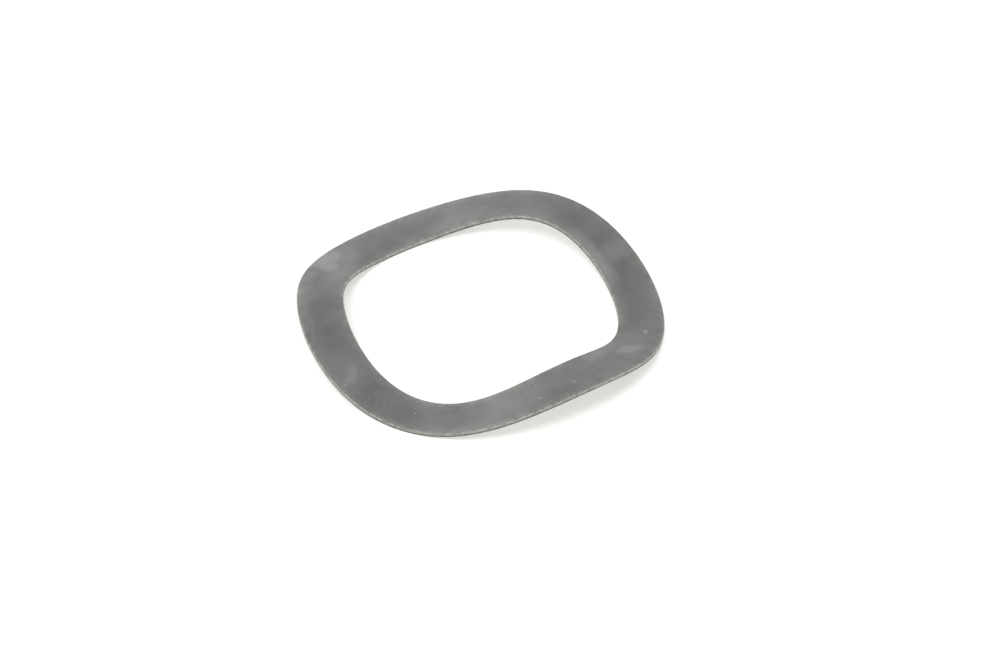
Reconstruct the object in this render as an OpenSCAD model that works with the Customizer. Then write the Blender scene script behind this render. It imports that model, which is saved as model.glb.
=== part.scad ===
// Wave washer: a flat ring of spring steel pressed into waves, so that it gives a soft axial spring.
// The ring's axis is Z, the undersides of its troughs touch Z = 0 and its tallest crest lies on +X.
// Each radial line of the sheet is level, so the height of the underside depends on the angle alone.

/* [Ring] */
// Outer diameter of the rim, which centres the washer in its housing
rim_d = 41; // [34:0.1:80]
// Diameter of the bore, which clears the shaft
bore_d = 30.6; // [12:0.1:38]
// Thickness of the sheet, square to its surface
sheet_t = 0.5; // [0.3:0.05:1.5]
// Radius that tumbling leaves on the sheared edges
edge_r = 0.1; // [0.02:0.01:0.14]

/* [Waves] */
// Number of waves round the ring
waves = 3; // [2:1:6]
// Rise of the underside from a trough to a crest, averaged over the crests
wave_rise = 3.7; // [1.5:0.1:8]
// Height of the tallest crest above that average, left by uneven pressing
rise_skew = 0.55; // [0:0.05:1]
// Drop of the flanks below a plain sine wave, which leaves the crests narrower than the troughs
flank_drop = 0.16; // [0:0.01:0.2]

/* [Smoothness] */
// Level lines in each wave, between which the sheet is faceted
lines_per_wave = 40; // [24:4:60]
// Segments in the full circles of the rim and the bore
circle_segments = 360; // [180:20:720]

/* [Hidden] */
rim_r = rim_d / 2;
bore_r = bore_d / 2;
lines = waves * lines_per_wave;
tallest = wave_rise + rise_skew;
// Room above and below the sheet for the tube that trims it
trim_margin = 2;
// An edge is two chords of a quarter circle: their joint lies on the arc at 45 degrees, and the
// second one meets the wall at 22.5 degrees and runs on past it to a tip at half the thickness
edge_side = edge_r * (1 - sin(45));
tip = (sheet_t / 2 - edge_r) * tan(22.5);

// Rise of the crests near this angle
function crest_rise(angle) = wave_rise + rise_skew * cos(angle);

// Height of the underside at this angle
function underside(angle) =
    crest_rise(angle) * (1 + cos(waves * angle)) / 2 - flank_drop * (1 - cos(2 * waves * angle)) / 2;

// Climb of the underside per radian at this angle
function climb(angle) =
    -waves * (crest_rise(angle) * sin(waves * angle) / 2 + flank_drop * sin(2 * waves * angle))
    - rise_skew * sin(angle) * (1 + cos(waves * angle)) / 2;

// A point of the sheet: depth is measured square to the sheet, up from its underside
function sheet_point(angle, r, depth) =
    [r * cos(angle), r * sin(angle), underside(angle) + depth * sqrt(1 + pow(climb(angle) / r, 2))];

// Section of the sheet as [radius, depth], from the bore's lower edge outwards and back over the top
section = [
    [bore_r + edge_r, 0],
    [rim_r - edge_r, 0],
    [rim_r - edge_side, edge_side],
    [rim_r + tip, sheet_t / 2],
    [rim_r - edge_side, sheet_t - edge_side],
    [rim_r - edge_r, sheet_t],
    [bore_r + edge_r, sheet_t],
    [bore_r + edge_side, sheet_t - edge_side],
    [bore_r - tip, sheet_t / 2],
    [bore_r + edge_side, edge_side],
];

// The waved sheet with rounded edges, a little wider than the ring at half its thickness
module waved_sheet() {
    n = len(section);
    points = [
        for (i = [0 : lines - 1], p = section)
            sheet_point(360 * i / lines, p[0], p[1])
    ];
    faces = [
        for (i = [0 : lines - 1], j = [0 : n - 1])
            let (
                here = i * n,
                next = (i + 1) % lines * n,
                k = (j + 1) % n
            )
            each [
                [here + j, here + k, next + k],
                [here + j, next + k, next + j],
            ]
    ];
    polyhedron(points, faces, convexity = 10);
}

// The upright tube whose round walls are the rim and the bore
module trim_tube() {
    translate([0, 0, -trim_margin])
        difference() {
            cylinder(h = tallest + sheet_t + 2 * trim_margin, r = rim_r, $fn = circle_segments);
            translate([0, 0, -trim_margin])
                cylinder(h = tallest + sheet_t + 4 * trim_margin, r = bore_r, $fn = circle_segments);
        }
}

module wave_washer() {
    color("dimgray")
        intersection() {
            trim_tube();
            waved_sheet();
        }
}

wave_washer();
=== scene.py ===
"""Looks of a wave washer: the pressed ring and its finish, a pale floor, soft light and the camera.

Lengths are in metres in the part's own frame unless a name says otherwise. +Z is the ring's axis, the
undersides of the troughs touch Z = 0, and +X runs through the middle of the tallest crest.
"""

import logging
import math
from dataclasses import dataclass, field
from enum import Enum

import bpy
import numpy as np
from mathutils import Matrix, Vector


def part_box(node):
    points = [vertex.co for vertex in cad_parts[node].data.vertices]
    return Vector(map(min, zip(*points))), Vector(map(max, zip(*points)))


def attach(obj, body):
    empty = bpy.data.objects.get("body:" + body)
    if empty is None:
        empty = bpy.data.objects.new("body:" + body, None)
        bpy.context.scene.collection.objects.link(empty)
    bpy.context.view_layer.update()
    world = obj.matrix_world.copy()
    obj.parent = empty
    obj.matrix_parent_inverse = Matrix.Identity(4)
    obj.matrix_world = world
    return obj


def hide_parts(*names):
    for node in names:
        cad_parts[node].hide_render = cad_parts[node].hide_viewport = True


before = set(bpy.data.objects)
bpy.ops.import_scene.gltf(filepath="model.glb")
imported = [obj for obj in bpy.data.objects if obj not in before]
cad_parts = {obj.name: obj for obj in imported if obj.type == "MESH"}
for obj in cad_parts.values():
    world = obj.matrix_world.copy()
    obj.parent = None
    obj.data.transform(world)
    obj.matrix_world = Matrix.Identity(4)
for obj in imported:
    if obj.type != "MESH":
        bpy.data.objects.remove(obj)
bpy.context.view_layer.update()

log = logging.getLogger("wave_washer")

MM = 0.001

# A Mix node that mixes colours: its factor, the colour under, the colour over and the output's number.
MIX_FACTOR = 0
MIX_UNDER = 6
MIX_OVER = 7
MIX_RESULT = 2

# Settings of a Map Range node that rises in a smooth curve.
SMOOTH = {"interpolation_type": "SMOOTHSTEP"}


def linear(hex_code: str) -> tuple[float, float, float, float]:
    """Turns an sRGB colour into the linear colour that Blender works in.

    Args:
        hex_code: The colour as "#rrggbb".

    Returns:
        Linear red, green and blue, and an alpha of 1.
    """
    channels = [int(hex_code[i : i + 2], 16) / 255 for i in (1, 3, 5)]
    # The curve that the sRGB standard gives: straight in the darkest tones, a power above them.
    bent = [c / 12.92 if c <= 0.04045 else ((c + 0.055) / 1.055) ** 2.4 for c in channels]
    return (bent[0], bent[1], bent[2], 1.0)


def add_node(
    tree: bpy.types.NodeTree,
    kind: str,
    settings: dict[str, object] | None = None,
    inputs: dict[str | int, object] | None = None,
) -> bpy.types.Node:
    """Adds a shader node with its settings, and fills or links its inputs.

    Args:
        tree: The node tree that gets the node.
        kind: Blender's name for the node's type.
        settings: Properties of the node by name.
        inputs: For an input's name or number, a socket to link or a value to set.

    Returns:
        The new node.
    """
    node = tree.nodes.new(kind)
    for name, value in (settings or {}).items():
        setattr(node, name, value)
    for name, value in (inputs or {}).items():
        if isinstance(value, bpy.types.NodeSocket):
            tree.links.new(value, node.inputs[name])
        else:
            node.inputs[name].default_value = value
    return node


@dataclass(frozen=True)
class WaveForm:
    """The shape that the press gives the ring: its sizes and the height of its underside.

    Attributes:
        rim_radius: Radius of the rim.
        bore_radius: Radius of the bore.
        sheet: Thickness of the sheet, square to its surface.
        waves: Number of waves round the ring.
        wave_rise: Rise of the underside from a trough to a crest, averaged over the crests.
        rise_skew: Height of the tallest crest above that average.
        flank_drop: Drop of the flanks below a plain sine wave.
    """

    rim_radius: float
    bore_radius: float = 15.3 * MM
    sheet: float = 0.5 * MM
    waves: int = 3
    wave_rise: float = 3.7 * MM
    rise_skew: float = 0.55 * MM
    flank_drop: float = 0.16 * MM

    def underside(self, angle: np.ndarray) -> np.ndarray:
        """Finds the height of the underside.

        Args:
            angle: Angles round the axis, in radians from the tallest crest.

        Returns:
            The height at each of them.
        """
        rise = self.wave_rise + self.rise_skew * np.cos(angle)
        phase = self.waves * angle
        return rise * (1 + np.cos(phase)) / 2 - self.flank_drop * np.sin(phase) ** 2

    def climb(self, angle: np.ndarray) -> np.ndarray:
        """Finds how steeply the underside climbs.

        Args:
            angle: Angles round the axis, in radians from the tallest crest.

        Returns:
            The climb per radian at each of them.
        """
        rise = self.wave_rise + self.rise_skew * np.cos(angle)
        phase = self.waves * angle
        wave = rise * np.sin(phase) / 2 + self.flank_drop * np.sin(2 * phase)
        return -self.waves * wave - self.rise_skew * np.sin(angle) * (1 + np.cos(phase)) / 2

    def points(self, angle: np.ndarray, radius: np.ndarray, depth: np.ndarray) -> np.ndarray:
        """Places points of the sheet.

        Args:
            angle: Angles round the axis.
            radius: Distances from the axis.
            depth: Distances up from the underside, square to the sheet.

        Returns:
            One row of X, Y and Z for each point.
        """
        lift = depth * np.sqrt(1 + (self.climb(angle) / radius) ** 2)
        height = self.underside(angle) + lift
        return np.stack([radius * np.cos(angle), radius * np.sin(angle), height], axis=-1)


class PointShare(Enum):
    """What the ring's mesh tells the finish of each point, as a share from 0 to 1."""

    DEPTH = "depth"  # how far up through the thickness it lies
    CORNER = "corner"  # how much of a rounded corner it is
    WALL = "wall"  # how much of the cut wall it is
    NEAR = "near"  # how near it is to a corner


@dataclass(frozen=True)
class Ramp:
    """How a mask rises, in a smooth curve, with the value that it is drawn from.

    Attributes:
        start: The value at which the mask leaves 0.
        end: The value at which the mask is full.
        most: The full mask's value.
    """

    start: float
    end: float
    most: float = 1.0

    def limits(self, value: bpy.types.NodeSocket) -> dict[str, object]:
        """Returns the inputs of the Map Range node that makes a mask of this value."""
        return {"Value": value, "From Min": self.start, "From Max": self.end, "To Max": self.most}


class MarkKind(Enum):
    """What kind of mark lies on the upper face."""

    RUB_AND_SHEEN = "rub_and_sheen"  # a soft, lighter patch, partly where the oxide was worn thin and partly painted sheen
    SMUDGE_AND_SHADE = "smudge_and_shade"  # a soft, darker patch, partly where the oxide is thicker and partly painted shade
    FLECK = "fleck"  # a small light dent or scratch through it


@dataclass(frozen=True)
class Mark:
    """One mark on the upper face.

    Attributes:
        kind: What kind of mark it is.
        angle_deg: Where it is round the ring, from the tallest crest.
        radius_mm: Its distance from the axis.
        length_mm: Its length, fading out towards the ends.
        width_mm: Its width, fading out towards the sides.
        turn_deg: Direction of its length, from +X.
        strength: How strongly it shows, from 0 to 1.
        core: Share of its length and width within which it doesn't fade.
    """

    kind: MarkKind
    angle_deg: float
    radius_mm: float
    length_mm: float
    width_mm: float
    turn_deg: float
    strength: float
    core: float = 0.2

    def centre_mm(self) -> tuple[float, float, float]:
        """Returns the mark's centre in the plane of the ring, in millimetres."""
        angle = math.radians(self.angle_deg)
        return (self.radius_mm * math.cos(angle), self.radius_mm * math.sin(angle), 0.0)

    def fade(self) -> Ramp:
        """Returns how the mark rises from its outline, at a distance of 1, to its core."""
        return Ramp(1.0, self.core, self.strength)


# The kind, angle, radius, length, width, direction and strength of each mark. The broad lighter and darker
# patches are partly worn-thin and thicker oxide and partly painted sheen and painted shade.
MARKS = (
    Mark(MarkKind.RUB_AND_SHEEN, 208, 19.6, 8.4, 3.6, 112, 0.65),
    Mark(MarkKind.RUB_AND_SHEEN, 212.5, 18.6, 5.2, 4.4, 121, 0.6),
    Mark(MarkKind.RUB_AND_SHEEN, 209, 17.4, 16.0, 5.0, 132, 0.32),
    Mark(MarkKind.RUB_AND_SHEEN, 220, 19.4, 6.0, 2.6, 130, 0.22),
    Mark(MarkKind.RUB_AND_SHEEN, 25, 15.9, 15.0, 3.0, 115, 0.38),
    Mark(MarkKind.RUB_AND_SHEEN, 31, 17.8, 7.6, 3.4, 98, 0.58),
    Mark(MarkKind.RUB_AND_SHEEN, 34, 17.4, 14.0, 6.0, 122, 0.3),
    Mark(MarkKind.RUB_AND_SHEEN, 90, 15.6, 12.0, 3.8, 0, 0.42),
    Mark(MarkKind.RUB_AND_SHEEN, 90, 18.4, 7.0, 4.0, 95, 0.22),
    Mark(MarkKind.RUB_AND_SHEEN, 159, 16.4, 7.5, 4.5, 75, 0.22),
    Mark(MarkKind.RUB_AND_SHEEN, 249, 19.7, 9.0, 1.8, 159, 0.16),
    Mark(MarkKind.RUB_AND_SHEEN, 274, 18.2, 4.6, 2.0, 130, 0.22),
    Mark(MarkKind.RUB_AND_SHEEN, 333, 17.6, 8.0, 6.0, 62, 0.07),
    Mark(MarkKind.SMUDGE_AND_SHADE, 62, 18.0, 10.0, 7.0, 152, 0.3),
    Mark(MarkKind.SMUDGE_AND_SHADE, 109, 17.4, 6.0, 5.0, 19, 0.3),
    Mark(MarkKind.SMUDGE_AND_SHADE, 129, 18.6, 12.0, 5.0, 39, 0.35),
    Mark(MarkKind.SMUDGE_AND_SHADE, 148, 17.8, 9.0, 6.0, 58, 0.25),
    Mark(MarkKind.SMUDGE_AND_SHADE, 255.5, 17.8, 3.4, 1.6, 166, 0.18),
    Mark(MarkKind.SMUDGE_AND_SHADE, 303, 18.0, 12.0, 7.0, 33, 0.4),
    Mark(MarkKind.SMUDGE_AND_SHADE, 183, 16.6, 7.0, 3.0, 93, 0.25),
    Mark(MarkKind.SMUDGE_AND_SHADE, 296, 16.2, 10.0, 3.0, 26, 0.3),
    Mark(MarkKind.SMUDGE_AND_SHADE, 315, 17.7, 11.0, 7.0, 45, 0.47),
    Mark(MarkKind.SMUDGE_AND_SHADE, 312, 16.9, 2.0, 0.55, 42, 0.85),
    Mark(MarkKind.SMUDGE_AND_SHADE, 291.5, 18.2, 0.7, 0.45, 30, 0.75),
    Mark(MarkKind.SMUDGE_AND_SHADE, 302.2, 17.5, 0.5, 0.35, 30, 0.75),
    Mark(MarkKind.SMUDGE_AND_SHADE, 9, 18.7, 0.6, 0.4, 55, 0.6),
    Mark(MarkKind.FLECK, 47.4, 18.45, 1.3, 0.8, 137, 0.33),
    Mark(MarkKind.FLECK, 276.4, 19.65, 0.5, 0.28, 20, 0.4),
    Mark(MarkKind.FLECK, 284.5, 18.7, 0.4, 0.3, 0, 0.2),
    Mark(MarkKind.FLECK, 288, 18.9, 0.4, 0.3, 60, 0.2),
    Mark(MarkKind.FLECK, 301.4, 17.7, 0.4, 0.3, 0, 0.3),
    Mark(MarkKind.FLECK, 344.6, 18.7, 0.6, 0.3, 80, 0.25),
    Mark(MarkKind.FLECK, 357.6, 18.6, 0.5, 0.35, 60, 0.3),
    Mark(MarkKind.FLECK, 345.6, 16.8, 2.8, 0.22, 355, 0.12),
    Mark(MarkKind.FLECK, 343.4, 16.6, 2.2, 0.2, 352, 0.1),
)


@dataclass(frozen=True)
class TumbledSpringSteel:
    """Hardened carbon spring steel, blanked from rolled strip, pressed to shape and tumbled smooth.

    Heat leaves a thin grey oxide, which the tumbling clouds, scratches finely and wears off the corners.
    The eye sees a dull, soft reflection with faint rolling lines in it, a light line at each corner and a
    cut wall that is smooth and upright above, where the punch sheared it, and torn and darker below. Broad
    lighter and darker patches on the upper face also paint sheen and shade on it.

    Attributes:
        oxide_dark: Colour of the oxide where it is thickest.
        oxide_light: Colour of the oxide where tumbling has thinned it.
        rubbed_and_sheen: Colour of lighter patches, where the oxide is worn thin and, in the broad ones,
            painted sheen, and of rolling lines and tumbling scratches.
        smudged_and_shade: Colour of a dark patch, partly thicker oxide and partly painted shade.
        bare: Colour of bare steel in a dent or scratch.
        sheared: Colour of the smooth upper part of the cut wall.
        torn: Colour of the torn lower part of the cut wall.
        worn: Colour of the faces next to a corner, where the oxide is worn off in patches.
        burnished: Colour of the corners, polished light.
        roughness: Roughness of the faces where the oxide is thickest.
        cloud_gloss: By how much it is lower where the oxide is thinnest.
        lay_gloss: By how much it is lower along a rolling line.
        torn_dullness: By how much the torn part of the cut wall is rougher.
        corner_dullness: By how much the corners are rougher.
        cloud_mm: Width of the large clouds in the oxide.
        mottle_mm: Width of the small ones.
        cloud_share: Share of the large clouds in the whole.
        cloud_ramp: How the oxide thins with the clouds.
        lay_mm: Length and width of a rolling line, four times its real width so that it shows.
        lay_deg: Direction of the rolling lines, from +X.
        lay_ramp: How light they are.
        lay_depth_mm: How deep they are.
        hairline_mm: Length and width of a tumbling scratch, three times its real width so that it shows.
        hairline_degs: Directions of the tumbling scratches, from +X.
        hairline_ramp: How they stand out of the noise that they are drawn from.
        hairline_strength: How light each of them is.
        hairline_depth_mm: How deep they are.
        dent_depth_mm: How deep the flecks are.
        stray_mm: How far the outline of a lighter or darker patch strays.
        fleck_stray_mm: How far the outline of a fleck strays.
        stray_width: Width of one bulge of an outline, in times the outline's stray.
        upper_ramp: How the marks come in with the depth, so that they show on the upper face only.
        drag_mm: Height and width of a drag mark on the cut wall, twice its real width so that it shows.
        drag_depth_mm: How deep the drag marks are.
        grain_mm: Grain of the tumbled surface, four times as coarse as it is so that it shows.
        grain_depth_mm: How deep the grain is.
        torn_depth_mm: How much deeper it is on the torn part of the cut wall.
        wear_mm: Length over which the corners' polish and the border of the torn part change.
        polish_ramp: How the corners' polish comes in with the noise that it is drawn from.
        least_polish: Share of the polish that every corner has.
        patch_mm: Width of the worn patches next to a corner.
        patch_ramp: How light they are.
        tear_depth: Share of the thickness up to which the cut wall is torn.
        tear_wander: Share of the thickness over which the torn part's border wanders.
        tear_blur: Share of the thickness over which it is blurred, on either side.
        marks: The marks on the upper face.
    """

    oxide_dark: str = "#6d6d6d"
    oxide_light: str = "#7a7b7a"
    rubbed_and_sheen: str = "#a8a8a8"
    smudged_and_shade: str = "#5d5d5d"
    bare: str = "#c4c3bf"
    sheared: str = "#a5a4a0"
    torn: str = "#716f6b"
    worn: str = "#a3a29b"
    burnished: str = "#cfcec9"
    roughness: float = 0.5
    cloud_gloss: float = 0.1
    lay_gloss: float = 0.06
    torn_dullness: float = 0.16
    corner_dullness: float = 0.12
    cloud_mm: float = 5.5
    mottle_mm: float = 1.3
    cloud_share: float = 0.75
    cloud_ramp: Ramp = Ramp(0.3, 0.7)
    lay_mm: tuple[float, float] = (9.0, 0.12)
    lay_deg: float = 2.0
    lay_ramp: Ramp = Ramp(0.5, 0.8, 0.065)
    lay_depth_mm: float = 0.0012
    hairline_mm: tuple[float, float] = (2.4, 0.09)
    hairline_degs: tuple[float, ...] = (14.0, 59.0, 103.0, 148.0)
    hairline_ramp: Ramp = Ramp(0.66, 0.84)
    hairline_strength: float = 0.14
    hairline_depth_mm: float = 0.003
    dent_depth_mm: float = 0.01
    stray_mm: float = 0.5
    fleck_stray_mm: float = 0.08
    stray_width: float = 2.5
    upper_ramp: Ramp = Ramp(0.5, 0.8)
    drag_mm: tuple[float, float] = (0.6, 0.08)
    drag_depth_mm: float = 0.012
    grain_mm: float = 0.12
    grain_depth_mm: float = 0.004
    torn_depth_mm: float = 0.05
    wear_mm: float = 0.45
    polish_ramp: Ramp = Ramp(0.38, 0.64)
    least_polish: float = 0.15
    patch_mm: float = 1.1
    patch_ramp: Ramp = Ramp(0.2, 0.8, 0.6)
    tear_depth: float = 0.5
    tear_wander: float = 0.6
    tear_blur: float = 0.04
    marks: tuple[Mark, ...] = MARKS

    def build(self) -> bpy.types.Material:
        """Makes the material.

        Returns:
            The material, whose patterns are all laid out in millimetres of the part's own frame.
        """
        material = bpy.data.materials.new("tumbled_spring_steel")
        material.use_nodes = True
        tree = material.node_tree
        tree.nodes.clear()
        place = self.place_mm(tree)
        clouds = self.clouds(tree, place)
        lay = self.streaks(tree, place, self.lay_deg, self.lay_mm)
        lay_lines = add_node(tree, "ShaderNodeMapRange", SMOOTH, self.lay_ramp.limits(lay))
        hairlines = self.hairlines(tree, place)
        marks = {kind: self.mark_mask(tree, place, kind) for kind in MarkKind}
        wall = add_node(
            tree, "ShaderNodeAttribute", {"attribute_name": PointShare.WALL.value}
        ).outputs["Fac"]
        torn = self.torn_mask(tree, place, wall)
        corner = self.corner_mask(tree, place)
        layers = (
            (clouds, self.oxide_light),
            # The lighter patches mix worn-thin oxide with painted sheen, and the darker ones mix thicker
            # oxide with painted shade.
            (marks[MarkKind.RUB_AND_SHEEN], self.rubbed_and_sheen),
            (marks[MarkKind.SMUDGE_AND_SHADE], self.smudged_and_shade),
            (lay_lines.outputs[0], self.rubbed_and_sheen),
            (hairlines, self.rubbed_and_sheen),
            (marks[MarkKind.FLECK], self.bare),
            (self.worn_mask(tree, place), self.worn),
            (wall, self.sheared),
            (torn, self.torn),
            (corner, self.burnished),
        )
        colour: object = linear(self.oxide_dark)
        for mask, tint in layers:
            colour = add_node(
                tree,
                "ShaderNodeMix",
                {"data_type": "RGBA"},
                {MIX_FACTOR: mask, MIX_UNDER: colour, MIX_OVER: linear(tint)},
            ).outputs[MIX_RESULT]
        rough_steps = (
            (clouds, -self.cloud_gloss),
            (lay, -self.lay_gloss),
            (torn, self.torn_dullness),
            (corner, self.corner_dullness),
        )
        shader = add_node(
            tree,
            "ShaderNodeBsdfPrincipled",
            inputs={
                "Base Color": colour,
                "Metallic": 1.0,
                "Roughness": self.weighed(tree, rough_steps, self.roughness),
                "Normal": self.relief(tree, place, (lay, hairlines, marks[MarkKind.FLECK]), wall, torn),
            },
        )
        add_node(tree, "ShaderNodeOutputMaterial", inputs={"Surface": shader.outputs[0]})
        return material

    def place_mm(self, tree: bpy.types.NodeTree) -> bpy.types.NodeSocket:
        """Returns the place on the part in millimetres, along X, Y and Z."""
        coords = add_node(tree, "ShaderNodeTexCoord")
        return add_node(
            tree,
            "ShaderNodeVectorMath",
            {"operation": "SCALE"},
            {0: coords.outputs["Object"], "Scale": 1 / MM},
        ).outputs[0]

    def weighed(
        self,
        tree: bpy.types.NodeTree,
        parts: tuple[tuple[bpy.types.NodeSocket, float], ...],
        start: float = 0.0,
    ) -> bpy.types.NodeSocket:
        """Adds up values, each times its weight.

        Args:
            tree: The material's node tree.
            parts: The values and their weights.
            start: What the sum starts from.

        Returns:
            The sum.
        """
        total: object = start
        for value, weight in parts:
            total = add_node(
                tree, "ShaderNodeMath", {"operation": "MULTIPLY_ADD"}, {0: value, 1: weight, 2: total}
            ).outputs[0]
        return total

    def clouds(self, tree: bpy.types.NodeTree, place: bpy.types.NodeSocket) -> bpy.types.NodeSocket:
        """Draws the oxide in large clouds with small ones in them.

        Args:
            tree: The material's node tree.
            place: The place on the part in millimetres.

        Returns:
            How thin the oxide is, from 0 to 1.
        """
        large = add_node(
            tree,
            "ShaderNodeTexNoise",
            inputs={"Vector": place, "Scale": 1 / self.cloud_mm, "Detail": 1.0},
        )
        small = add_node(
            tree,
            "ShaderNodeTexNoise",
            inputs={"Vector": place, "Scale": 1 / self.mottle_mm, "Detail": 4.0},
        )
        both = self.weighed(
            tree, ((large.outputs[0], self.cloud_share), (small.outputs[0], 1 - self.cloud_share))
        )
        return add_node(tree, "ShaderNodeMapRange", SMOOTH, self.cloud_ramp.limits(both)).outputs[0]

    def streaks(
        self,
        tree: bpy.types.NodeTree,
        place: bpy.types.NodeSocket,
        turn_deg: float,
        size_mm: tuple[float, float],
    ) -> bpy.types.NodeSocket:
        """Draws noise out into streaks that lie in one direction.

        Args:
            tree: The material's node tree.
            place: The place on the part in millimetres.
            turn_deg: Direction of the streaks, from +X.
            size_mm: Their length and width.

        Returns:
            The noise, from 0 to 1.
        """
        length, width = size_mm
        # A shift that goes with the direction, so that no two turn the same noise about one point.
        shift_mm = (turn_deg, 0, 0)
        drawn = add_node(
            tree,
            "ShaderNodeMapping",
            {"vector_type": "TEXTURE"},
            {
                "Vector": place,
                "Location": shift_mm,
                "Rotation": (0, 0, math.radians(turn_deg)),
                "Scale": (length, width, length),
            },
        )
        return add_node(
            tree,
            "ShaderNodeTexNoise",
            inputs={"Vector": drawn.outputs[0], "Scale": 1.0, "Detail": 1.0},
        ).outputs[0]

    def hairlines(self, tree: bpy.types.NodeTree, place: bpy.types.NodeSocket) -> bpy.types.NodeSocket:
        """Draws the tumbling scratches, which lie in several directions.

        Args:
            tree: The material's node tree.
            place: The place on the part in millimetres.

        Returns:
            Their mask, from 0 to the strength of all that cross in one place.
        """
        lines = []
        for turn_deg in self.hairline_degs:
            streaks = self.streaks(tree, place, turn_deg, self.hairline_mm)
            line = add_node(tree, "ShaderNodeMapRange", SMOOTH, self.hairline_ramp.limits(streaks))
            lines.append((line.outputs[0], self.hairline_strength))
        return self.weighed(tree, tuple(lines))

    def mark_mask(
        self, tree: bpy.types.NodeTree, place: bpy.types.NodeSocket, kind: MarkKind
    ) -> bpy.types.NodeSocket:
        """Gathers the marks of one kind, on the upper face only.

        Args:
            tree: The material's node tree.
            place: The place on the part in millimetres.
            kind: The kind of mark to gather.

        Returns:
            The mask, from 0 to 1.
        """
        stray = self.fleck_stray_mm if kind is MarkKind.FLECK else self.stray_mm
        noise = add_node(
            tree,
            "ShaderNodeTexNoise",
            inputs={"Vector": place, "Scale": 1 / (self.stray_width * stray), "Detail": 2.0},
        )
        shift = add_node(
            tree,
            "ShaderNodeVectorMath",
            {"operation": "MULTIPLY_ADD"},
            {0: noise.outputs["Color"], 1: (2 * stray,) * 3, 2: (-stray,) * 3},
        )
        moved = add_node(
            tree, "ShaderNodeVectorMath", {"operation": "ADD"}, {0: place, 1: shift.outputs[0]}
        )
        flat = add_node(
            tree,
            "ShaderNodeVectorMath",
            {"operation": "MULTIPLY"},
            {0: moved.outputs[0], 1: (1, 1, 0)},
        )
        total: object = 0.0
        for mark in self.marks:
            if mark.kind is not kind:
                continue
            local = add_node(
                tree,
                "ShaderNodeMapping",
                {"vector_type": "TEXTURE"},
                {
                    "Vector": flat.outputs[0],
                    "Location": mark.centre_mm(),
                    "Rotation": (0, 0, math.radians(mark.turn_deg)),
                    "Scale": (mark.length_mm / 2, mark.width_mm / 2, 1),
                },
            )
            reach = add_node(
                tree, "ShaderNodeVectorMath", {"operation": "LENGTH"}, {0: local.outputs[0]}
            )
            spot = add_node(tree, "ShaderNodeMapRange", SMOOTH, mark.fade().limits(reach.outputs["Value"]))
            total = add_node(
                tree, "ShaderNodeMath", {"operation": "MAXIMUM"}, {0: spot.outputs[0], 1: total}
            ).outputs[0]
        depth = add_node(tree, "ShaderNodeAttribute", {"attribute_name": PointShare.DEPTH.value})
        upper = add_node(tree, "ShaderNodeMapRange", SMOOTH, self.upper_ramp.limits(depth.outputs["Fac"]))
        return add_node(
            tree, "ShaderNodeMath", {"operation": "MULTIPLY"}, {0: total, 1: upper.outputs[0]}
        ).outputs[0]

    def worn_mask(self, tree: bpy.types.NodeTree, place: bpy.types.NodeSocket) -> bpy.types.NodeSocket:
        """Draws the worn patches that line the corners.

        Args:
            tree: The material's node tree.
            place: The place on the part in millimetres.

        Returns:
            Their mask, from 0 to 1.
        """
        near = add_node(tree, "ShaderNodeAttribute", {"attribute_name": PointShare.NEAR.value})
        noise = add_node(
            tree,
            "ShaderNodeTexNoise",
            inputs={"Vector": place, "Scale": 1 / self.patch_mm, "Detail": 3.0, "Roughness": 0.6},
        )
        patches = add_node(tree, "ShaderNodeMapRange", SMOOTH, self.patch_ramp.limits(noise.outputs[0]))
        return add_node(
            tree,
            "ShaderNodeMath",
            {"operation": "MULTIPLY"},
            {0: near.outputs["Fac"], 1: patches.outputs[0]},
        ).outputs[0]

    def corner_mask(self, tree: bpy.types.NodeTree, place: bpy.types.NodeSocket) -> bpy.types.NodeSocket:
        """Draws the corners, polished more in some places than in others.

        Args:
            tree: The material's node tree.
            place: The place on the part in millimetres.

        Returns:
            Their mask, from 0 to 1.
        """
        corner = add_node(tree, "ShaderNodeAttribute", {"attribute_name": PointShare.CORNER.value})
        noise = add_node(
            tree,
            "ShaderNodeTexNoise",
            inputs={"Vector": place, "Scale": 1 / self.wear_mm, "Detail": 3.0, "Roughness": 0.7},
        )
        wear = add_node(tree, "ShaderNodeMapRange", SMOOTH, self.polish_ramp.limits(noise.outputs[0]))
        polish = self.weighed(tree, ((wear.outputs[0], 1 - self.least_polish),), self.least_polish)
        return add_node(
            tree,
            "ShaderNodeMath",
            {"operation": "MULTIPLY"},
            {0: corner.outputs["Fac"], 1: polish},
        ).outputs[0]

    def torn_mask(
        self, tree: bpy.types.NodeTree, place: bpy.types.NodeSocket, wall: bpy.types.NodeSocket
    ) -> bpy.types.NodeSocket:
        """Finds the torn part of the cut wall, whose upper border wanders.

        Args:
            tree: The material's node tree.
            place: The place on the part in millimetres.
            wall: The mask of the cut wall.

        Returns:
            The mask, from 0 to 1.
        """
        depth = add_node(tree, "ShaderNodeAttribute", {"attribute_name": PointShare.DEPTH.value})
        noise = add_node(
            tree,
            "ShaderNodeTexNoise",
            inputs={"Vector": place, "Scale": 1 / self.wear_mm, "Detail": 3.0},
        )
        wander = self.weighed(tree, ((noise.outputs[0], self.tear_wander),), -self.tear_wander / 2)
        height = add_node(
            tree, "ShaderNodeMath", {"operation": "ADD"}, {0: depth.outputs["Fac"], 1: wander}
        )
        border = Ramp(self.tear_depth + self.tear_blur, self.tear_depth - self.tear_blur)
        below = add_node(tree, "ShaderNodeMapRange", SMOOTH, border.limits(height.outputs[0]))
        return add_node(
            tree, "ShaderNodeMath", {"operation": "MULTIPLY"}, {0: below.outputs[0], 1: wall}
        ).outputs[0]

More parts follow.
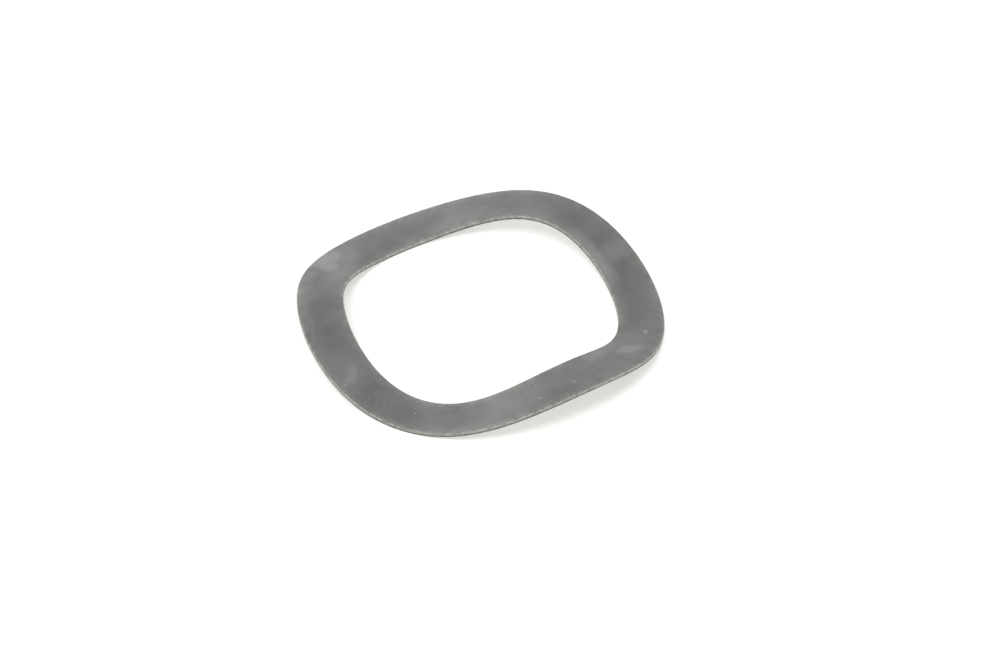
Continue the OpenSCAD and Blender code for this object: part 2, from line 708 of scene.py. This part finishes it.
    def relief(
        self,
        tree: bpy.types.NodeTree,
        place: bpy.types.NodeSocket,
        cuts: tuple[bpy.types.NodeSocket, bpy.types.NodeSocket, bpy.types.NodeSocket],
        wall: bpy.types.NodeSocket,
        torn: bpy.types.NodeSocket,
    ) -> bpy.types.NodeSocket:
        """Raises the fine relief: grain everywhere, drag marks on the cut wall, and what is cut in.

        Args:
            tree: The material's node tree.
            place: The place on the part in millimetres.
            cuts: The rolling lines, the tumbling scratches and the dents.
            wall: The mask of the cut wall.
            torn: The mask of its torn part.

        Returns:
            The normal that the relief gives.
        """
        grain = add_node(
            tree,
            "ShaderNodeTexNoise",
            inputs={"Vector": place, "Scale": 1 / self.grain_mm, "Detail": 2.0},
        )
        upright, width = self.drag_mm
        drawn = add_node(
            tree,
            "ShaderNodeMapping",
            {"vector_type": "TEXTURE"},
            {"Vector": place, "Scale": (width, width, upright)},
        )
        drag = add_node(
            tree,
            "ShaderNodeTexNoise",
            inputs={"Vector": drawn.outputs[0], "Scale": 1.0, "Detail": 2.0},
        )
        grain_depth = self.weighed(tree, ((torn, self.torn_depth_mm),), self.grain_depth_mm)
        drag_depth = self.weighed(tree, ((wall, self.drag_depth_mm),))
        raised = [
            add_node(
                tree,
                "ShaderNodeMath",
                {"operation": "MULTIPLY"},
                {0: pattern.outputs[0], 1: depth},
            ).outputs[0]
            for pattern, depth in ((grain, grain_depth), (drag, drag_depth))
        ]
        lay, hairlines, dents = cuts
        heights = (
            (raised[0], 1.0),
            (raised[1], 1.0),
            (lay, -self.lay_depth_mm),
            (hairlines, -self.hairline_depth_mm),
            (dents, -self.dent_depth_mm),
        )
        return add_node(
            tree,
            "ShaderNodeBump",
            inputs={"Strength": 1.0, "Distance": MM, "Height": self.weighed(tree, heights)},
        ).outputs[0]


@dataclass(frozen=True)
class EdgeOutline:
    """The outline of one cut edge, from the underside up to the upper face.

    Attributes:
        setback: How far each of its points lies back from the edge's own radius, at every line.
        depth: How far each lies up from the underside, square to the sheet, at every line.
        corner: How much of a corner each is, from 0 to 1.
        wall: How much of the cut wall each is, from 0 to 1.
    """

    setback: np.ndarray
    depth: np.ndarray
    corner: np.ndarray
    wall: np.ndarray


@dataclass(frozen=True)
class Section:
    """Points once round the sheet's section: up the rim, in above, down the bore and out below.

    Attributes:
        radius: Each point's distance from the axis, at every line.
        depth: How far each lies up from the underside, square to the sheet, at every line.
        corner: How much of a corner each is, from 0 to 1.
        wall: How much of the cut wall each is, from 0 to 1.
        near: How near each is to a corner, from 0 to 1.
    """

    radius: np.ndarray
    depth: np.ndarray
    corner: np.ndarray
    wall: np.ndarray
    near: np.ndarray


@dataclass(frozen=True)
class PressedRing:
    """The washer's one piece: a ring blanked from strip, pressed into waves and tumbled.

    Attributes:
        form: The shape that the press gives it.
        finish: Its surface.
        upper_round: Mean radius of the upper corners, where the punch drew the sheet in.
        lower_round: Mean radius of the lower corners, where tumbling took off the burr.
        round_change: Share by which tumbling makes the corners rounder in one place than in another.
        ripples: Number of waves that add up to that change.
        fewest_cycles: Cycles that the longest of them may make round the ring.
        ripple_lines: Level lines that the shortest of them must span.
        tear_lean: How far the torn lower part of the cut wall leans back.
        worn_width: Distance from a corner over which wear of the oxide falls to about a third.
        lines: Number of level lines round the ring.
        face_points: Number of steps across a face, shorter towards its corners.
        corner_points: Number of steps round a corner.
        wall_points: Number of steps up the cut wall.
        seed: Seed of the corners' changes.
    """

    form: WaveForm
    finish: TumbledSpringSteel = field(default_factory=TumbledSpringSteel)
    upper_round: float = 0.1 * MM
    lower_round: float = 0.08 * MM
    round_change: float = 0.22
    ripples: int = 24
    fewest_cycles: int = 30
    ripple_lines: int = 5
    tear_lean: float = 0.02 * MM
    worn_width: float = 0.5 * MM
    lines: int = 1200
    face_points: int = 12
    corner_points: int = 6
    wall_points: int = 7
    seed: int = 7

    def changes(self, rng: np.random.Generator) -> np.ndarray:
        """Draws the uneven rounding of a corner.

        Args:
            rng: The source of its changes.

        Returns:
            How much rounder than the mean the corner is at each line, as a share of its radius.
        """
        angle = np.arange(self.lines) * (2 * math.pi / self.lines)
        cycles = rng.integers(self.fewest_cycles, self.lines // self.ripple_lines, self.ripples)
        phases = rng.uniform(0, 2 * math.pi, self.ripples)
        wobble = np.sin(np.outer(angle, cycles) + phases).sum(axis=1)
        return self.round_change * wobble / np.abs(wobble).max()

    def edge_outline(self, rng: np.random.Generator) -> EdgeOutline:
        """Outlines one cut edge at every line.

        Args:
            rng: The source of the corners' changes.

        Returns:
            The outline, with a round corner, a wall whose torn lower part leans, and a round corner.
        """
        sheet = self.form.sheet
        low = self.lower_round * (1 + self.changes(rng))[:, None]
        up = self.upper_round * (1 + self.changes(rng))[:, None]
        turn = np.linspace(0, math.pi / 2, self.corner_points + 1)
        rise = np.arange(1, self.wall_points) / self.wall_points
        lean = self.tear_lean * np.clip(1 - rise / self.finish.tear_depth, 0, 1)
        rounded = np.sin(2 * turn)
        return EdgeOutline(
            setback=np.hstack(
                [
                    low * (1 - np.sin(turn)) + self.tear_lean,
                    np.tile(lean, (self.lines, 1)),
                    up * (1 - np.cos(turn)),
                ]
            ),
            depth=np.hstack(
                [
                    low * (1 - np.cos(turn)),
                    low + (sheet - low - up) * rise,
                    sheet - up * (1 - np.sin(turn)),
                ]
            ),
            corner=np.concatenate([rounded, np.zeros_like(rise), rounded]),
            wall=np.concatenate([np.zeros_like(turn), np.ones_like(rise), np.zeros_like(turn)]),
        )

    def face_shares(self) -> np.ndarray:
        """Spaces the points of a face, closer together towards its corners.

        Returns:
            How far across the face each of them lies, from 0 to 1.
        """
        turn = np.linspace(0, math.pi, self.face_points + 1)
        # The ends belong to the corners, so the outermost points lie half a step in.
        turn[0] = turn[1] / 2
        turn[-1] = math.pi - turn[0]
        return (1 - np.cos(turn)) / 2

    def face_radii(self, start: np.ndarray, end: np.ndarray) -> np.ndarray:
        """Spreads points over a face.

        Args:
            start: Radius of the corner where the face starts, at every line.
            end: Radius of the corner where it ends.

        Returns:
            The points' radii at every line.
        """
        return start[:, None] + (end - start)[:, None] * self.face_shares()

    def section(self) -> Section:
        """Goes once round the sheet's section, at every line.

        Returns:
            The section's points.
        """
        form = self.form
        rng = np.random.default_rng(self.seed)
        outer = self.edge_outline(rng)
        inner = self.edge_outline(rng)
        rim = form.rim_radius - outer.setback
        bore = form.bore_radius + inner.setback
        above = self.face_radii(rim[:, -1], bore[:, -1])
        below = self.face_radii(bore[:, 0], rim[:, 0])
        shares = self.face_shares()
        away = np.minimum(shares, 1 - shares) * (form.rim_radius - form.bore_radius)
        worn = np.exp(-away / self.worn_width)
        face = np.zeros_like(shares)
        edge = np.ones_like(outer.wall)
        return Section(
            radius=np.hstack([rim, above, bore[:, ::-1], below]),
            depth=np.hstack(
                [
                    outer.depth,
                    np.full_like(above, form.sheet),
                    inner.depth[:, ::-1],
                    np.zeros_like(below),
                ]
            ),
            corner=np.concatenate([outer.corner, face, inner.corner[::-1], face]),
            wall=np.concatenate([outer.wall, face, inner.wall[::-1], face]),
            near=np.concatenate([edge, worn, edge, worn]),
        )

    def build(self) -> bpy.types.Object:
        """Makes the ring with its finish.

        Returns:
            The ring's object, which stands for the CAD washer.
        """
        section = self.section()
        around, over = section.radius.shape
        angle = np.repeat(np.arange(around) * (2 * math.pi / around), over)
        verts = self.form.points(angle, section.radius.ravel(), section.depth.ravel())
        here = np.arange(around * over).reshape(around, over)
        ahead = np.roll(here, -1, axis=0)
        quads = [here, ahead, np.roll(ahead, -1, axis=1), np.roll(here, -1, axis=1)]
        mesh = bpy.data.meshes.new("wave_washer_ring")
        mesh.from_pydata(verts.tolist(), [], np.stack(quads, axis=-1).reshape(-1, 4).tolist())
        mesh.shade_smooth()
        shares = {
            PointShare.DEPTH: section.depth.ravel() / self.form.sheet,
            PointShare.CORNER: np.tile(section.corner, around),
            PointShare.WALL: np.tile(section.wall, around),
            PointShare.NEAR: np.tile(section.near, around),
        }
        for share, values in shares.items():
            layer = mesh.attributes.new(share.value, "FLOAT", "POINT")
            layer.data.foreach_set("value", values.astype(np.float32))
        mesh.materials.append(self.finish.build())
        ring = bpy.data.objects.new("wave_washer_ring", mesh)
        bpy.context.scene.collection.objects.link(ring)
        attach(ring, "root")
        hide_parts("wave_washer")
        return ring


@dataclass(frozen=True)
class Softbox:
    """A square lamp with a white front, aimed at the ring.

    Attributes:
        name: Its name.
        azimuth_deg: Its direction from the ring, from +X towards +Y.
        elevation_deg: Its height above the floor as an angle.
        distance: Its distance from the ring.
        side: Its width and height.
        power: Its power in watts.
        mirrored: Whether shiny surfaces mirror it. Where they don't, it causes no glare on the steel.
    """

    name: str
    azimuth_deg: float
    elevation_deg: float
    distance: float
    side: float
    power: float
    mirrored: bool

    def build(self) -> bpy.types.Object:
        """Makes the lamp and aims it at the ring.

        Returns:
            The lamp's object.
        """
        lamp = bpy.data.lights.new(self.name, "AREA")
        lamp.size = self.side
        lamp.energy = self.power
        thing = bpy.data.objects.new(self.name, lamp)
        azimuth, elevation = math.radians(self.azimuth_deg), math.radians(self.elevation_deg)
        flat = math.cos(elevation)
        away = Vector((flat * math.cos(azimuth), flat * math.sin(azimuth), math.sin(elevation)))
        thing.location = away * self.distance
        thing.rotation_mode = "QUATERNION"
        thing.rotation_quaternion = away.to_track_quat("Z", "Y")
        thing.visible_camera = False
        thing.visible_glossy = self.mirrored
        bpy.context.scene.collection.objects.link(thing)
        return thing


@dataclass(frozen=True)
class LightTent:
    """The white tent that the ring is shown in: its floor, its walls and its softboxes.

    Attributes:
        wall_colour: Colour of the walls.
        wall_light: Light that the walls throw on what stands in the tent, where 1 is white.
        floor_colour: Colour of the floor.
        glow_colour: Colour of its extra brightness.
        floor_glow: Extra brightness with which the floor shows itself round the ring, where 1 is white.
        far_glow: That brightness far from the ring, where the lamps give less light.
        glow_reach: Distances from the ring at which it starts and ends to change.
        floor_side: Width of the floor.
        floor_gap: Gap between the floor and the ring's troughs.
        softboxes: The lamps.
    """

    wall_colour: str = "#ffffff"
    wall_light: float = 0.2
    floor_colour: str = "#d3d3cf"
    glow_colour: str = "#fffffd"
    floor_glow: float = 0.575
    far_glow: float = 0.9
    glow_reach: tuple[float, float] = (0.06, 0.8)
    floor_side: float = 4.0
    floor_gap: float = 0.01 * MM
    softboxes: tuple[Softbox, ...] = (
        Softbox(
            name="front_softbox",
            azimuth_deg=310,
            elevation_deg=58,
            distance=0.9,
            side=0.32,
            power=5.0,
            mirrored=False,
        ),
        Softbox(
            name="left_softbox",
            azimuth_deg=168,
            elevation_deg=30,
            distance=0.9,
            side=0.6,
            power=0.55,
            mirrored=True,
        ),
        Softbox(
            name="side_softbox",
            azimuth_deg=100,
            elevation_deg=16,
            distance=0.9,
            side=0.5,
            power=3.0,
            mirrored=False,
        ),
    )

    def build(self) -> list[bpy.types.Object]:
        """Makes the floor, the walls' light and the lamps, and returns the floor and the lamps."""
        self.build_walls()
        return [self.build_floor(), *(softbox.build() for softbox in self.softboxes)]

    def seen_directly(self, tree: bpy.types.NodeTree) -> bpy.types.NodeSocket:
        """Tells what is seen from what only throws light.

        Args:
            tree: The node tree that asks.

        Returns:
            1 for what the camera sees, by itself or in a mirror or glass, and 0 for other light.
        """
        path = add_node(tree, "ShaderNodeLightPath")
        seen = path.outputs["Is Camera Ray"]
        for other in ("Is Glossy Ray", "Is Transmission Ray"):
            seen = add_node(
                tree, "ShaderNodeMath", {"operation": "MAXIMUM"}, {0: seen, 1: path.outputs[other]}
            ).outputs[0]
        return seen

    def build_floor(self) -> bpy.types.Object:
        """Makes the floor of white paper, matt, so that it shows soft shadows and no reflection.

        Returns:
            The floor's object.
        """
        half = self.floor_side / 2
        corners = [(-half, -half), (half, -half), (half, half), (-half, half)]
        mesh = bpy.data.meshes.new("tent_floor")
        mesh.from_pydata([(x, y, -self.floor_gap) for x, y in corners], [], [(0, 1, 2, 3)])
        material = bpy.data.materials.new("white_paper")
        material.use_nodes = True
        tree = material.node_tree
        tree.nodes.clear()
        paper = add_node(tree, "ShaderNodeBsdfDiffuse", inputs={"Color": linear(self.floor_colour)})
        coords = add_node(tree, "ShaderNodeTexCoord")
        away = add_node(
            tree, "ShaderNodeVectorMath", {"operation": "LENGTH"}, {0: coords.outputs["Object"]}
        )
        start, end = self.glow_reach
        level = add_node(
            tree,
            "ShaderNodeMapRange",
            SMOOTH,
            {
                "Value": away.outputs["Value"],
                "From Min": start,
                "From Max": end,
                "To Min": self.floor_glow,
                "To Max": self.far_glow,
            },
        )
        glow = add_node(
            tree,
            "ShaderNodeMath",
            {"operation": "MULTIPLY"},
            {0: self.seen_directly(tree), 1: level.outputs[0]},
        )
        light = add_node(
            tree,
            "ShaderNodeEmission",
            inputs={"Color": linear(self.glow_colour), "Strength": glow.outputs[0]},
        )
        both = add_node(tree, "ShaderNodeAddShader", inputs={0: paper.outputs[0], 1: light.outputs[0]})
        add_node(tree, "ShaderNodeOutputMaterial", inputs={"Surface": both.outputs[0]})
        mesh.materials.append(material)
        floor = bpy.data.objects.new("tent_floor", mesh)
        bpy.context.scene.collection.objects.link(floor)
        return floor

    def build_walls(self) -> bpy.types.World:
        """Makes the walls, which look white but throw only part of a white wall's light.

        Returns:
            The world that stands for the walls.
        """
        world = bpy.data.worlds.new("tent_walls")
        world.use_nodes = True
        tree = world.node_tree
        tree.nodes.clear()
        strength = add_node(
            tree,
            "ShaderNodeMapRange",
            inputs={"Value": self.seen_directly(tree), "To Min": self.wall_light, "To Max": 1.0},
        )
        light = add_node(
            tree,
            "ShaderNodeBackground",
            inputs={"Color": linear(self.wall_colour), "Strength": strength.outputs[0]},
        )
        add_node(tree, "ShaderNodeOutputWorld", inputs={"Surface": light.outputs[0]})
        bpy.context.scene.world = world
        return world


@dataclass(frozen=True)
class LongLens:
    """The camera, a long lens that looks down on the ring from in front and leaves it off centre.

    Attributes:
        azimuth_deg: Where it stands round the ring: at 0 it looks along +Y, at 90 along -X.
        elevation_deg: Its height above the floor as an angle.
        roll_deg: How far the picture turns against the clock.
        distance: Its distance from the origin.
        nearest: Distance from it within which nothing shows.
        focal_px: Its focal length in pixels of the picture.
        origin_px: Where the origin shows, from the picture's upper left corner.
        picture_px: Width and height of the picture.
        sensor_mm: Width of the sensor.
    """

    azimuth_deg: float = 54.61
    elevation_deg: float = 39.41
    roll_deg: float = -0.76
    distance: float = 413.4 * MM
    nearest: float = 10 * MM
    focal_px: float = 3698.0
    origin_px: tuple[float, float] = (480.95, 322.36)
    picture_px: tuple[int, int] = (1000, 667)
    sensor_mm: float = 36.0

    def build(self) -> bpy.types.Object:
        """Makes the camera and sets it as the scene's.

        Returns:
            The camera's object.
        """
        azimuth, elevation = math.radians(self.azimuth_deg), math.radians(self.elevation_deg)
        flat = math.cos(elevation)
        back = Vector((math.sin(azimuth) * flat, -math.cos(azimuth) * flat, math.sin(elevation)))
        right = Vector((math.cos(azimuth), math.sin(azimuth), 0))
        facing = Matrix((right, back.cross(right), back))
        ray = Vector(
            (
                (self.origin_px[0] - self.picture_px[0] / 2) / self.focal_px,
                (self.picture_px[1] / 2 - self.origin_px[1]) / self.focal_px,
                -1,
            )
        ).normalized()
        across = Vector((0, 1, 0)).cross(-ray).normalized()
        aside = Matrix((across, (-ray).cross(across), -ray)).transposed()
        to_camera = aside @ Matrix.Rotation(math.radians(self.roll_deg), 3, "Z") @ facing
        from_camera = to_camera.transposed()
        data = bpy.data.cameras.new("long_lens")
        data.sensor_width = self.sensor_mm
        data.lens = self.focal_px * self.sensor_mm / self.picture_px[0]
        data.clip_start = self.nearest
        camera = bpy.data.objects.new("long_lens", data)
        place = Matrix.Translation(from_camera @ ray * -self.distance)
        camera.matrix_world = place @ from_camera.to_4x4()
        bpy.context.scene.collection.objects.link(camera)
        bpy.context.scene.camera = camera
        return camera


def main() -> None:
    """Builds the ring, the tent and the camera, and reports each piece."""
    logging.basicConfig(level=logging.INFO, format="%(name)s: %(message)s")
    bpy.context.scene.view_settings.view_transform = "Standard"
    low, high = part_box("wave_washer")
    ring = PressedRing(WaveForm(rim_radius=(high.x - low.x) / 2)).build()
    staging = LightTent().build()
    camera = LongLens().build()
    for piece in (ring, *staging, camera):
        log.info("%s: %s", piece.name, piece.type.lower())


if __name__ == "__main__":
    main()
